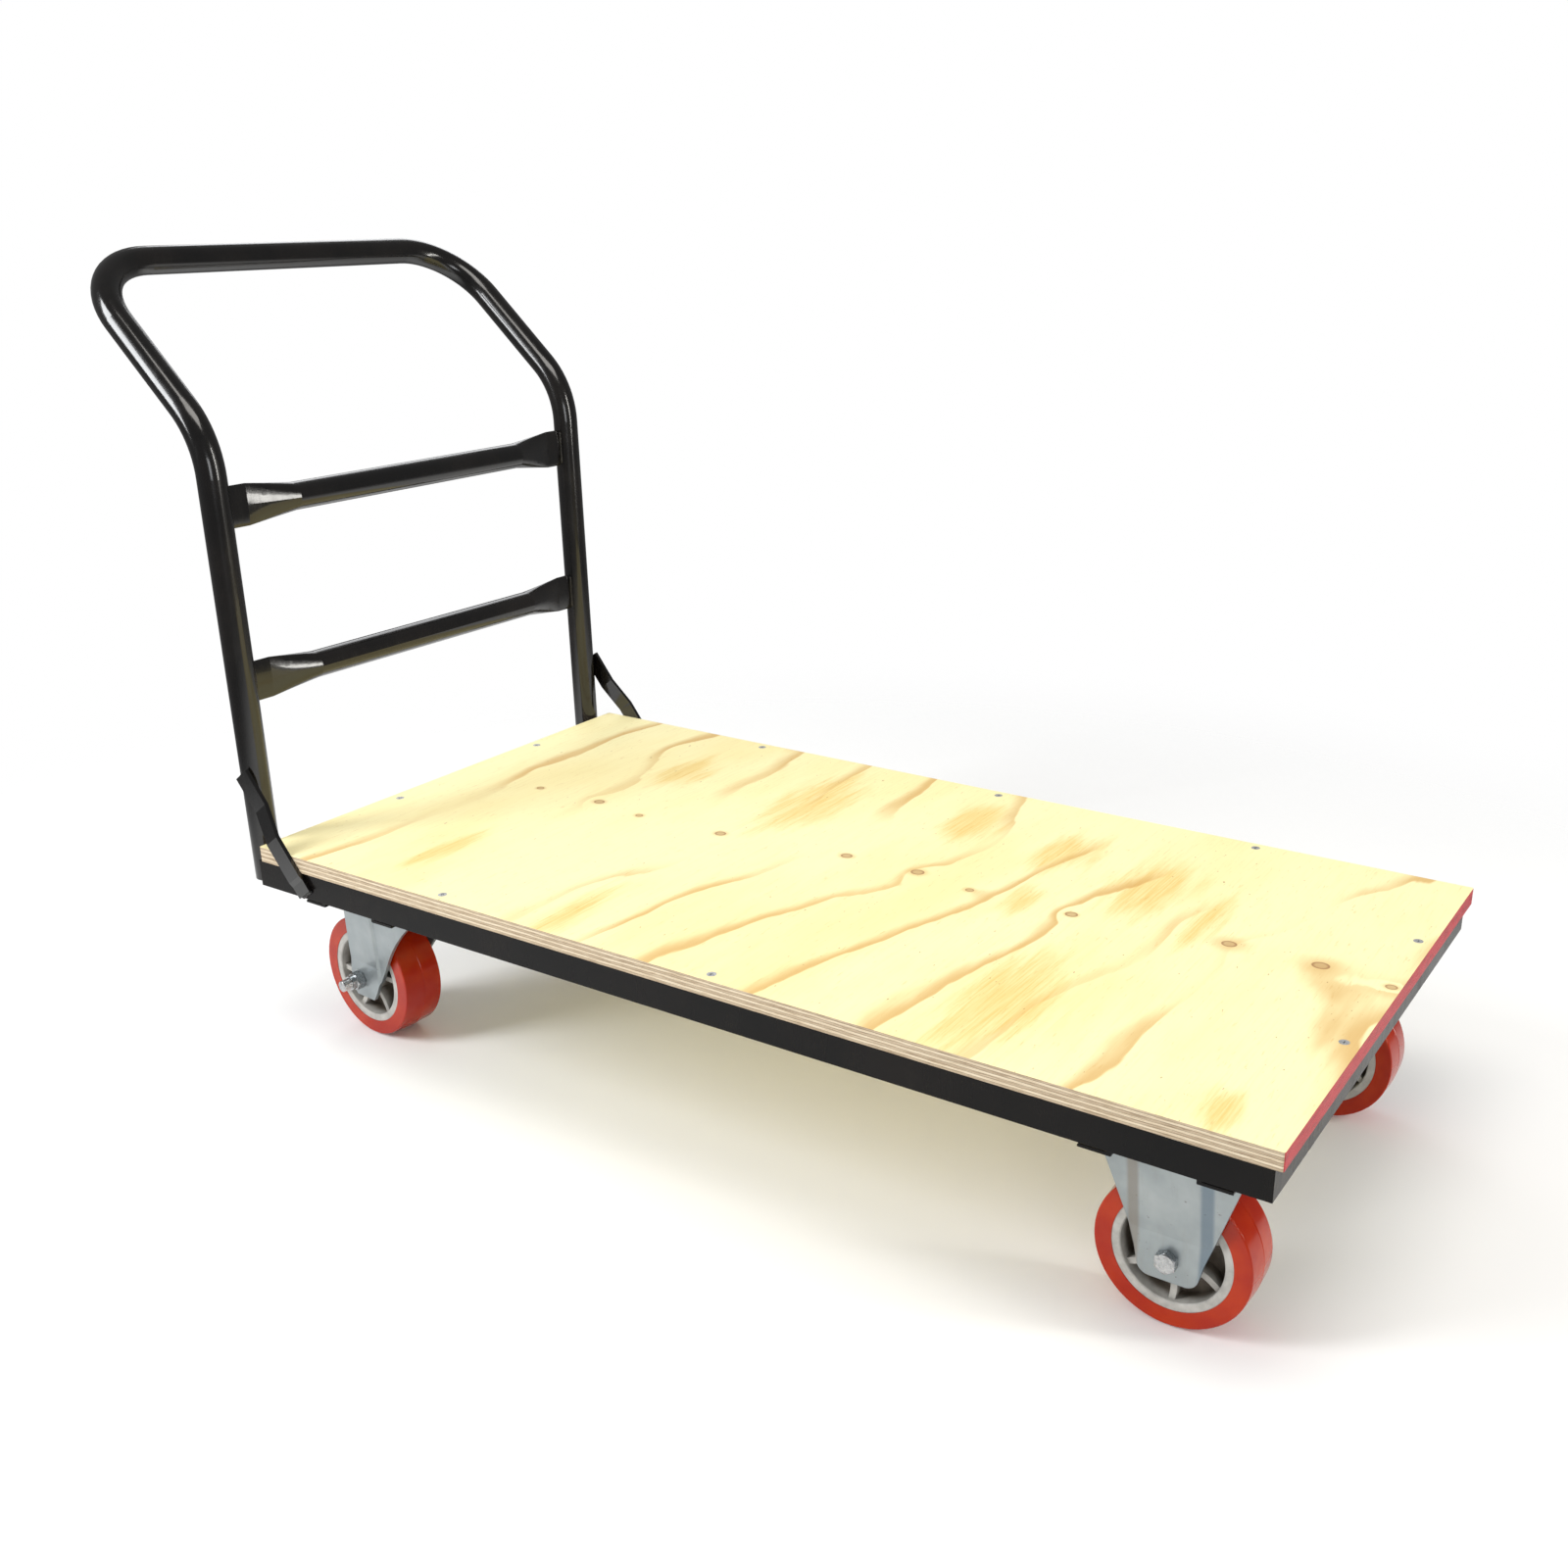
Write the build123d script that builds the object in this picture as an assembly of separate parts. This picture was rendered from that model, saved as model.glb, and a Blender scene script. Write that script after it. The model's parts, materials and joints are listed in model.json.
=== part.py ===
from build123d import *
import os
from math import cos, pi, radians, sin, tan

# Flatbed platform truck: a plywood deck on a welded frame of steel angle, a bent tube
# handle at the rear, two rigid casters in front and two swivel casters behind.
# Millimetres, +Z up, floor at z = 0.  +X is the front, +Y the left of a person at the
# handle.  The origin is the middle of the bottom face of the whole truck's box.

# ---- Deck: 24 x 48 in panel of 23/32 in plywood
DECK_LENGTH = 1219.2
DECK_WIDTH = 609.6
DECK_THICKNESS = 18.26
DECK_TOP = 255.0
DECK_CORNER_RADIUS = 2.0
DECK_EDGE_RADIUS = 0.6

# ---- Frame: 1-1/4 x 1-1/4 x 1/8 in angle, deeper cross members of the same width
ANGLE_LEG = 31.75
ANGLE_WALL = 3.18
ANGLE_ROOT_RADIUS = 3.0
ANGLE_TOE_RADIUS = 1.4
ANGLE_HEEL_RADIUS = 0.9
CROSS_HEIGHT = 38.1
CROSS_GAP = 76.2
CROSS_HALF_LENGTH = 295.3
FRAME_REAR_OVERHANG = 6.0
FRAME_FRONT_SETBACK = 7.1
FRAME_SIDE_SETBACK = 1.6

# ---- Handle: 1-1/4 in tube, leaning back above the knee, with cross bars of the same tube
TUBE_R = 15.875
TUBE_WALL = 1.65
UPRIGHT_Y = 280.0
GRIP_HALF_WIDTH = 276.3
KNEE_Z = 716.0
KNEE_BEND_R = 101.6
LEAN_DEG = 47.25
LEAN_REACH = 188.0
CORNER_BEND_R = 88.9
BAR_FLAT_HALF_HEIGHT = 23.5
BAR_FLAT_HALF_THICKNESS = 2.2
BAR_CAVITY_END = (0.5, 21.8)
BAR_FLAT_LENGTH = 24.0
BAR_TAPER_LENGTH = 62.0
BAR_HEIGHTS = {"upper": 637.6, "lower": 439.5}

# ---- Handle braces: flat bar from the uprights to the side rails
BRACE_WIDTH = 23.0
BRACE_THICKNESS = 4.76
BRACE_LENGTH = 157.0
BRACE_SLOPE_DEG = 53.35
BRACE_TOP_AHEAD = 10.8
BRACE_TOP_Z = 344.5
BRACE_TUBE_RUN = 45.0
BRACE_DECK_START = 85.0
BRACE_DECK_END = 136.0
BRACE_RAIL_START = 142.0

# ---- Deck screws, places from the middle of the deck
SCREW_HEAD_R = 5.0
SCREW_HEAD_DEPTH = 2.9
SCREW_R = 2.4
SCREW_LENGTH = 32.0
SCREW_TIP = 5.0
SCREW_FIT = 0.05
SCREW_RECESS = (5.4, 1.1, 1.7)
SCREW_EDGE_SIDE = 12.8
SCREW_END_X = 594.5
SCREW_SIDE_X = {-1: (-326.0, 37.0), 1: (-326.0, 37.0, 370.0)}
SCREW_END_Y = (-105.5, 138.5)

# ---- Casters: 6 x 2 in wheels, axle height 3 in
WHEEL_R = 76.2
WHEEL_EDGE_R = 75.1
WHEEL_WIDTH = 50.8
TREAD_BORE_R = 58.0
TREAD_EDGE_FILLET = 1.6
PARTING_HALF_WIDTH = 0.8
PARTING_DEPTH = 0.45
RIM_INNER_R = 49.5
RIM_HALF_WIDTH = 24.9
RIM_CHAMFER = 1.0
WEB_HALF = 4.0
HUB_R = 19.6
HUB_HALF = 27.9
HUB_BORE_R = 15.93
RIB_COUNT = 6
RIB_WIDTH = 6.4
RIB_BULGE = 2.6
RIB_HALF_HEIGHT = 20.0
RIB_FIRST_DEG = {"rigid": 30.0, "swivel": 2.0}

CASTER_Y = 212.4
RIGID_X = 498.0
SWIVEL_X = -480.4
SWIVEL_LEAD = 58.0
SWIVEL_REST_DEG = {"left": 0.0, "right": -5.0}

AXLE_R = 6.35
AXLE_FIT = 0.05
AXLE_HEAD_AF = 19.05
AXLE_HEAD_HEIGHT = 8.0
AXLE_HEAD_TURN_DEG = 30.0
HEX_FACE = 0.94
AXLE_NUT_HEIGHT = 11.0
AXLE_NUT_COLLAR = 5.0
AXLE_NUT_COLLAR_R = 8.6
AXLE_THREAD_OUT = 11.0
WASHER_R = 13.0
WASHER_THICKNESS = 1.5
SLEEVE_R = 9.525
ROLLER_COUNT = 10
ROLLER_R = 3.15
ROLLER_HALF = 24.0
ROLLER_FIT = 0.05

# ---- Caster forks and plates
PLATE_LENGTH = 158.75
PLATE_WIDTH = 114.3
PLATE_THICKNESS = 6.35
PLATE_CORNER_R = 8.0
BOLT_X = 57.15
BOLT_Y = 30.0
BOLT_R = 4.76
BOLT_HOLE_R = 5.1
BOLT_SLOT = 8.0
BOLT_AF = 14.29
BOLT_HEAD_HEIGHT = 6.35
BOLT_NUT_HEIGHT = 8.3
BOLT_THREAD_OUT = 2.2
FORK_SHEET = 4.5
FORK_OUTER = 34.0
FORK_FLARE = 0.15
FORK_FLARE_START = 100.0
FORK_BOTTOM = 53.5
RIGID_STEP = 3.0
RIGID_PANEL_HALF = 27.0
RIGID_STEP_RUN = 15.0
RIGID_SHOULDER = (33.0, 80.0)
RIGID_TOP_HALF = 69.0
RIGID_BOTTOM_HALF = 27.0
RIGID_BOTTOM_FILLET = 13.0
SWIVEL_STEP = 2.5
SWIVEL_CREASE_X = 35.0
SWIVEL_STEP_RUN = 3.0
SWIVEL_RAKE = 0.157
SWIVEL_REAR_EDGE = ((-12.0, 117.0), (-17.0, 84.0), (-16.0, 62.0), (-10.0, FORK_BOTTOM))
SWIVEL_TOE = (22.0, FORK_BOTTOM)
SWIVEL_FRONT_LOW = (30.0, 66.0)
SWIVEL_FRONT_MIDDLE = (66.0, 125.0)
CROWN_HALF_X = 58.0
CROWN_SHEET = 5.0
CROWN_CORNER_R = 12.0

# ---- Swivel bearing and kingpin
BALL_R = 3.77
BALL_FIT = 0.05
BALL_COUNT = 20
BALL_RING_R = 33.0
RACE_RING_R = 45.5
RACE_RING_WALL = 2.5
RACE_RING_HEIGHT = 5.8
KINGPIN_R = 8.0
KINGPIN_FIT = 0.05
KINGPIN_HEAD_R = 13.5
KINGPIN_HEAD_HEIGHT = 6.5
KINGPIN_NUT_AF = 24.0
KINGPIN_NUT_HEIGHT = 13.0
KINGPIN_THREAD_OUT = 2.5

# ---- Derived places
REAR_REACH = FRAME_REAR_OVERHANG + 2 * TUBE_R + LEAN_REACH
DECK_X = REAR_REACH / 2
DECK_REAR = DECK_X - DECK_LENGTH / 2
DECK_FRONT = DECK_X + DECK_LENGTH / 2
DECK_SIDE = DECK_WIDTH / 2
DECK_BOTTOM = DECK_TOP - DECK_THICKNESS
FRAME_REAR = DECK_REAR - FRAME_REAR_OVERHANG
FRAME_FRONT = DECK_FRONT - FRAME_FRONT_SETBACK
FRAME_SIDE = DECK_SIDE - FRAME_SIDE_SETBACK
FRAME_BOTTOM = DECK_BOTTOM - ANGLE_LEG
SHELF_Z = DECK_BOTTOM - ANGLE_WALL
CASTER_TOP = SHELF_Z - CROSS_HEIGHT
PLATE_BOTTOM = CASTER_TOP - PLATE_THICKNESS
CROWN_TOP = PLATE_BOTTOM - 2 * (BALL_R + BALL_FIT)
UPRIGHT_X = FRAME_REAR - TUBE_R
HANDLE_TOP_Z = KNEE_Z + LEAN_REACH / tan(radians(LEAN_DEG))
AXLE_Z = WHEEL_R
SIDES = {"left": 1, "right": -1}

JOIN = 1.0
UP = Vector(0, 0, 1)
os.makedirs("parts", exist_ok=True)


def save(name, shape):
    """Write one named piece as a STEP file."""
    export_step(shape, "parts/" + name + ".step")


def prism(points, plane, depth):
    """Closed polygon on a plane, extruded to both sides of it by depth."""
    return extrude(plane * make_face(Polyline(*points, close=True)), depth, both=True)


def rod(radius, y0, y1, x=0.0, z=0.0):
    """Cylinder along Y."""
    return Pos(x, (y0 + y1) / 2, z) * Rot(90, 0, 0) * Cylinder(radius, abs(y1 - y0))


def post(radius, z0, z1, x=0.0, y=0.0):
    """Cylinder along Z."""
    return Pos(x, y, (z0 + z1) / 2) * Cylinder(radius, abs(z1 - z0))


def hexagon(across_flats, z0, z1):
    """Upright hexagon with two flats facing along Y and its corners turned off."""
    corner = across_flats / 2 / cos(pi / 6)
    face = HEX_FACE * across_flats / 2
    drop = (corner - face) * tan(pi / 6)
    outline = Polyline((0, z0), (face, z0), (corner, z0 + drop), (corner, z1 - drop),
                       (face, z1), (0, z1), close=True)
    turned = revolve(Plane.XZ * make_face(outline), Axis.Z)
    sketch = RegularPolygon(across_flats / 2, 6, major_radius=False)
    return turned & (Pos(0, 0, z0) * extrude(sketch, z1 - z0))


def group(shapes):
    """Separate solids kept side by side in one node."""
    return Compound(children=[solid for shape in shapes for solid in shape.solids()])


# ---- Frame of steel angle

def angle_section(across, down):
    """L section, heel at the origin, one leg along +X and the other along -Y."""
    section = make_face(Polyline((0, 0), (across, 0), (across, -ANGLE_WALL),
                                 (ANGLE_WALL, -ANGLE_WALL), (ANGLE_WALL, -down), (0, -down),
                                 close=True))
    for corner, radius in (((ANGLE_WALL, -ANGLE_WALL), ANGLE_ROOT_RADIUS),
                           ((across, -ANGLE_WALL), ANGLE_TOE_RADIUS),
                           ((ANGLE_WALL, -down), ANGLE_TOE_RADIUS),
                           ((0, 0), ANGLE_HEEL_RADIUS)):
        vertex = section.vertices().sort_by_distance((*corner, 0))[0]
        section = fillet(vertex, radius)
    return section


def frame_bar(start, inward, length):
    """Angle bar along the frame's edge, mitred where it meets its neighbours."""
    along = inward.cross(UP)
    origin = Vector(start[0], start[1], DECK_BOTTOM)
    bar = extrude(Plane(origin, x_dir=inward, z_dir=along) *
                  angle_section(ANGLE_LEG, ANGLE_LEG), length)
    corners = [(0, 0), (length, 0), (length - ANGLE_LEG, ANGLE_LEG), (ANGLE_LEG, ANGLE_LEG)]
    flat = [origin + along * a + inward * b for a, b in corners]
    mitre = prism([(p.X, p.Y) for p in flat], Plane.XY.offset(DECK_BOTTOM), 2 * ANGLE_LEG)
    return bar & mitre


def screw_places():
    """Deck screw centres on the deck's top face."""
    places = []
    for side, stations in SCREW_SIDE_X.items():
        places += [(DECK_X + x, side * (DECK_SIDE - SCREW_EDGE_SIDE)) for x in stations]
    for end in (-1, 1):
        places += [(DECK_X + end * SCREW_END_X, y) for y in SCREW_END_Y]
    return places


def screw_body(head_r, shank_r, length):
    """Countersunk screw or its hole, with the top of the head at z = 0."""
    outline = Polyline((0, 0), (head_r, 0), (shank_r, -SCREW_HEAD_DEPTH),
                       (shank_r, SCREW_TIP - length), (0, -length), close=True)
    return revolve(Plane.XZ * make_face(outline), Axis.Z)


def at_screws(shape):
    """One copy of a shape at each deck screw."""
    return [Pos(x, y, DECK_TOP) * shape for x, y in screw_places()]


def deck_and_frame():
    """Deck panel, its screws and the four mitred frame bars."""
    hole = at_screws(screw_body(SCREW_HEAD_R, SCREW_R + SCREW_FIT, 2 * SCREW_LENGTH))
    panel = Box(DECK_LENGTH, DECK_WIDTH, DECK_THICKNESS)
    panel = fillet(panel.edges().filter_by(Axis.Z), DECK_CORNER_RADIUS)
    panel = fillet(panel.edges().group_by(Axis.Z)[-1], DECK_EDGE_RADIUS)
    panel = Pos(DECK_X, 0, DECK_TOP - DECK_THICKNESS / 2) * panel
    save("deck_board", panel - hole)

    screw = screw_body(SCREW_HEAD_R, SCREW_R, SCREW_LENGTH)
    long_side, short_side, deep = SCREW_RECESS
    for turn in (0, 90):
        screw -= Rot(0, 0, turn) * Box(long_side, short_side, 2 * deep)
    save("deck_screws", group(at_screws(screw)))

    length = FRAME_FRONT - FRAME_REAR
    width = 2 * FRAME_SIDE
    bars = {
        "frame_rail_right": ((FRAME_REAR, -FRAME_SIDE), Vector(0, 1, 0), length),
        "frame_rail_left": ((FRAME_FRONT, FRAME_SIDE), Vector(0, -1, 0), length),
        "frame_end_front": ((FRAME_FRONT, -FRAME_SIDE), Vector(-1, 0, 0), width),
        "frame_end_rear": ((FRAME_REAR, FRAME_SIDE), Vector(1, 0, 0), width),
    }
    for name, (start, inward, bar_length) in bars.items():
        save(name, frame_bar(start, inward, bar_length) - hole)


def caster_bolt_places(caster_x):
    """Centres of the mounting bolts of both casters at one end of the truck."""
    return [(caster_x + sx * BOLT_X, side * CASTER_Y + sy * BOLT_Y)
            for side in SIDES.values() for sx in (-1, 1) for sy in (-1, 1)]


def cross_members():
    """Pairs of angle bars under the deck that carry the caster plates."""
    for end, caster_x in (("front", DECK_X + RIGID_X), ("rear", DECK_X + SWIVEL_X)):
        holes = [post(BOLT_HOLE_R, CASTER_TOP - JOIN, SHELF_Z, x, y)
                 for x, y in caster_bolt_places(caster_x)]
        for place, outward in (("outer", 1), ("inner", -1)):
            direction = Vector(outward if end == "front" else -outward, 0, 0)
            heel = Vector(caster_x, 0, CASTER_TOP) + direction * (CROSS_GAP / 2)
            plane = Plane(heel, x_dir=direction, z_dir=direction.cross(-UP))
            bar = extrude(plane * angle_section(ANGLE_LEG, CROSS_HEIGHT),
                          CROSS_HALF_LENGTH, both=True)
            save("cross_member_" + end + "_" + place, bar - holes)


# ---- Handle

def handle_tube():
    """One bent tube: two uprights, a knee in each, and the grip bar across the top."""
    grip_x = UPRIGHT_X - LEAN_REACH
    path = FilletPolyline(
        (UPRIGHT_X, -UPRIGHT_Y, FRAME_BOTTOM), (UPRIGHT_X, -UPRIGHT_Y, KNEE_Z),
        (grip_x, -GRIP_HALF_WIDTH, HANDLE_TOP_Z), (grip_x, GRIP_HALF_WIDTH, HANDLE_TOP_Z),
        (UPRIGHT_X, UPRIGHT_Y, KNEE_Z), (UPRIGHT_X, UPRIGHT_Y, FRAME_BOTTOM),
        radius=[KNEE_BEND_R, CORNER_BEND_R, CORNER_BEND_R, KNEE_BEND_R])
    ring = Circle(TUBE_R) - Circle(TUBE_R - TUBE_WALL)
    return sweep(Plane(path @ 0, z_dir=path % 0) * ring, path=path)


def pinched_rod(radius, end_ellipse, paddle_length):
    """Round rod along Y that narrows to a tall ellipse and runs on as a flat paddle."""
    taper_start = UPRIGHT_Y - TUBE_R - BAR_FLAT_LENGTH - BAR_TAPER_LENGTH
    shape = rod(radius, -taper_start, taper_start)
    for side in (-1, 1):
        across = Plane((0, side * taper_start, 0), x_dir=(1, 0, 0), z_dir=(0, side, 0))
        flat = across.offset(BAR_TAPER_LENGTH) * Ellipse(*end_ellipse)
        shape += loft([across * Circle(radius), flat])
        if paddle_length:
            shape += extrude(flat, paddle_length)
    return shape


def handle_bar(height):
    """Cross bar of tube, pinched shut at its ends, where it is welded to the uprights."""
    paddle = (BAR_FLAT_HALF_THICKNESS, BAR_FLAT_HALF_HEIGHT)
    outside = pinched_rod(TUBE_R, paddle, BAR_FLAT_LENGTH)
    cavity = pinched_rod(TUBE_R - TUBE_WALL, BAR_CAVITY_END, 0)
    return Pos(UPRIGHT_X, 0, height) * (outside - cavity)


def handle_brace(side):
    """Flat bar, set off to clear the deck's edge between the tube and the rail."""
    slope = radians(BRACE_SLOPE_DEG)
    along = Vector(cos(slope), 0, -sin(slope))
    across = Vector(-sin(slope), 0, -cos(slope))
    tube_side = UPRIGHT_Y + TUBE_R
    faces = [(0, tube_side), (BRACE_TUBE_RUN, tube_side), (BRACE_DECK_START, DECK_SIDE),
             (BRACE_DECK_END, DECK_SIDE), (BRACE_RAIL_START, FRAME_SIDE),
             (BRACE_LENGTH, FRAME_SIDE)]
    outer = [(s, y + BRACE_THICKNESS) for s, y in reversed(faces)]
    top = Vector(UPRIGHT_X + BRACE_TOP_AHEAD, 0, BRACE_TOP_Z)
    plane = Plane(top, x_dir=along, z_dir=across)
    bar = extrude(plane * make_face(Polyline(*faces, *outer, close=True)), BRACE_WIDTH)
    return bar if side < 0 else mirror(bar, Plane.XZ)


# ---- Wheels

def wheel_tread():
    """Solid tyre, slightly crowned, with a shallow parting line round its middle."""
    half = WHEEL_WIDTH / 2
    outline = Polyline(
        (TREAD_BORE_R, -half), (WHEEL_EDGE_R, -half), (WHEEL_R, -PARTING_HALF_WIDTH),
        (WHEEL_R - PARTING_DEPTH, 0), (WHEEL_R, PARTING_HALF_WIDTH), (WHEEL_EDGE_R, half),
        (TREAD_BORE_R, half), close=True)
    section = make_face(outline)
    for axial in (-half, half):
        vertex = section.vertices().sort_by_distance((WHEEL_EDGE_R, axial, 0))[0]
        section = fillet(vertex, TREAD_EDGE_FILLET)
    return revolve(section, Axis.Y)


def ring_y(inner, outer, half):
    """Plain ring about the Y axis."""
    section = make_face(Polyline((inner, -half), (outer, -half), (outer, half),
                                 (inner, half), close=True))
    return revolve(section, Axis.Y)


def wheel_core(first_deg):
    """Moulded core: rim and hub joined by a thin web with curved ribs on both faces."""
    rim_face = RIM_HALF_WIDTH - RIM_CHAMFER
    rim = make_face(Polyline(
        (RIM_INNER_R, -rim_face), (RIM_INNER_R + RIM_CHAMFER, -RIM_HALF_WIDTH),
        (TREAD_BORE_R, -RIM_HALF_WIDTH), (TREAD_BORE_R, RIM_HALF_WIDTH),
        (RIM_INNER_R + RIM_CHAMFER, RIM_HALF_WIDTH), (RIM_INNER_R, rim_face), close=True))
    core = revolve(rim, Axis.Y) + ring_y(HUB_BORE_R, HUB_R, HUB_HALF)
    core += ring_y(HUB_BORE_R + JOIN, RIM_INNER_R + JOIN, WEB_HALF)
    start = (HUB_BORE_R + HUB_R) / 2
    end = (RIM_INNER_R + TREAD_BORE_R) / 2
    middle = (start + end) / 2
    half = RIB_WIDTH / 2
    upper = ThreePointArc((start, half), (middle, half + RIB_BULGE), (end, half))
    lower = ThreePointArc((end, -half), (middle, RIB_BULGE - half), (start, -half))
    sides = [Line(upper @ 1, lower @ 0), Line(lower @ 1, upper @ 0)]
    rib = extrude(Plane.XZ * make_face([upper, lower, *sides]), RIB_HALF_HEIGHT, both=True)
    for index in range(RIB_COUNT):
        core += Rot(0, -first_deg - index * 360 / RIB_COUNT, 0) * rib
    return core


def wheel_rollers():
    """Ring of plain rollers between the hub bore and the axle sleeve."""
    pitch = SLEEVE_R + ROLLER_FIT + ROLLER_R
    turns = [2 * pi * index / ROLLER_COUNT for index in range(ROLLER_COUNT)]
    return group([rod(ROLLER_R, -ROLLER_HALF, ROLLER_HALF, pitch * cos(t), pitch * sin(t))
                  for t in turns])


def axle_parts(head_side):
    """Axle bolt, lock nut, thrust washers and sleeve, about the Y axis."""
    inner = FORK_OUTER - FORK_SHEET
    nut_end = FORK_OUTER + AXLE_NUT_HEIGHT
    collar_end = nut_end + AXLE_NUT_COLLAR
    lie_down = Rot(-90, 0, 0)
    head = hexagon(AXLE_HEAD_AF, FORK_OUTER, FORK_OUTER + AXLE_HEAD_HEIGHT)
    head = lie_down * Rot(0, 0, AXLE_HEAD_TURN_DEG) * head
    bolt = rod(AXLE_R, -collar_end - AXLE_THREAD_OUT, FORK_OUTER + JOIN) + head
    nut = lie_down * hexagon(AXLE_HEAD_AF, -nut_end, -FORK_OUTER)
    nut += rod(AXLE_NUT_COLLAR_R, -collar_end, -nut_end)
    nut -= rod(AXLE_R + AXLE_FIT, -collar_end, -FORK_OUTER)
    washer = ring_y(AXLE_R + AXLE_FIT, WASHER_R, WASHER_THICKNESS / 2)
    middle = inner - WASHER_THICKNESS / 2
    washers = group([Pos(0, side * middle, 0) * washer for side in (-1, 1)])
    sleeve = ring_y(AXLE_R + AXLE_FIT, SLEEVE_R, inner - WASHER_THICKNESS)
    pieces = {"axle_bolt": bolt, "axle_nut": nut, "axle_washers": washers,
              "axle_sleeve": sleeve}
    turn = Rot(0, 0, 0 if head_side > 0 else 180)
    return {name: turn * piece for name, piece in pieces.items()}


# ---- Forks

def stepped_leg(stations, top_z, rake):
    """Pressed sheet leg on the +Y side: upright low down, flared and raked higher up."""
    outer = [(x, FORK_OUTER - step) for x, step in stations]
    inner = [(x, y - FORK_SHEET) for x, y in reversed(outer)]
    section = make_face(Polyline(*outer, *inner, close=True))
    base = Plane.XY.offset(FORK_FLARE_START)
    low = extrude(base * section, FORK_BOTTOM - FORK_FLARE_START - JOIN)
    rise = top_z - FORK_FLARE_START
    direction = Vector(rake, FORK_FLARE, 1)
    high = extrude(base * section, rise * direction.length, dir=direction)
    return low + high


def both_legs(leg, outline):
    """Two mirrored legs trimmed to the same side outline."""
    trim = extrude(Plane.XZ * outline, 2 * FORK_OUTER, both=True)
    leg = leg & trim
    return leg + mirror(leg, Plane.XZ)


def mounting_plate():
    """Flat plate with four bolt slots, centred on the caster's middle."""
    plan = RectangleRounded(PLATE_LENGTH, PLATE_WIDTH, PLATE_CORNER_R)
    slot = SlotOverall(BOLT_SLOT + 2 * BOLT_HOLE_R, 2 * BOLT_HOLE_R)
    for sx in (-1, 1):
        for sy in (-1, 1):
            plan -= Pos(sx * BOLT_X, sy * BOLT_Y) * slot
    return Pos(0, 0, PLATE_BOTTOM) * extrude(plan, PLATE_THICKNESS)


def axle_hole():
    """Cross hole for the axle bolt."""
    return rod(AXLE_R + AXLE_FIT, -2 * FORK_OUTER, 2 * FORK_OUTER, 0, AXLE_Z)


def rigid_fork():
    """Plate and two tapered legs, each with a raised middle panel."""
    shoulder_x, shoulder_z = RIGID_SHOULDER
    far = RIGID_TOP_HALF + JOIN
    step_x = RIGID_PANEL_HALF + RIGID_STEP_RUN
    stations = [(-far, RIGID_STEP), (-step_x, RIGID_STEP), (-RIGID_PANEL_HALF, 0),
                (RIGID_PANEL_HALF, 0), (step_x, RIGID_STEP), (far, RIGID_STEP)]
    half = [(RIGID_BOTTOM_HALF, FORK_BOTTOM), (shoulder_x, shoulder_z),
            (RIGID_TOP_HALF, PLATE_BOTTOM)]
    outline = make_face(Polyline(*half, *[(-x, z) for x, z in reversed(half)], close=True))
    for side in (-1, 1):
        corner = outline.vertices().sort_by_distance((side * RIGID_BOTTOM_HALF, FORK_BOTTOM, 0))
        outline = fillet(corner[0], RIGID_BOTTOM_FILLET)
    legs = both_legs(stepped_leg(stations, PLATE_BOTTOM, 0), outline)
    return mounting_plate() + legs - axle_hole()


def swivel_fork():
    """Crown and two raked legs with a curved front edge; the axle is at x = 0."""
    crown_low = CROWN_TOP - CROWN_SHEET
    rear_top = SWIVEL_LEAD - CROWN_HALF_X
    front_top = SWIVEL_LEAD + CROWN_HALF_X
    stations = [(-CROWN_HALF_X, 0), (SWIVEL_CREASE_X, 0),
                (SWIVEL_CREASE_X + SWIVEL_STEP_RUN, SWIVEL_STEP),
                (front_top + CROWN_HALF_X, SWIVEL_STEP)]
    rear = Polyline((rear_top, CROWN_TOP), (rear_top, crown_low), *SWIVEL_REAR_EDGE,
                    SWIVEL_TOE, SWIVEL_FRONT_LOW)
    front = ThreePointArc(SWIVEL_FRONT_LOW, SWIVEL_FRONT_MIDDLE, (front_top, crown_low))
    top = Polyline(front @ 1, (front_top, CROWN_TOP), (rear_top, CROWN_TOP))
    legs = both_legs(stepped_leg(stations, CROWN_TOP, SWIVEL_RAKE),
                     make_face([rear, front, top]))
    crown_half_y = FORK_OUTER + FORK_FLARE * (crown_low - FORK_FLARE_START)
    plan = RectangleRounded(2 * CROWN_HALF_X, 2 * crown_half_y, CROWN_CORNER_R)
    crown = Pos(SWIVEL_LEAD, 0, crown_low) * extrude(plan, CROWN_SHEET)
    bore = post(KINGPIN_R + KINGPIN_FIT, crown_low - JOIN, CROWN_TOP + JOIN, SWIVEL_LEAD)
    return legs + crown - bore - axle_hole()


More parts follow.
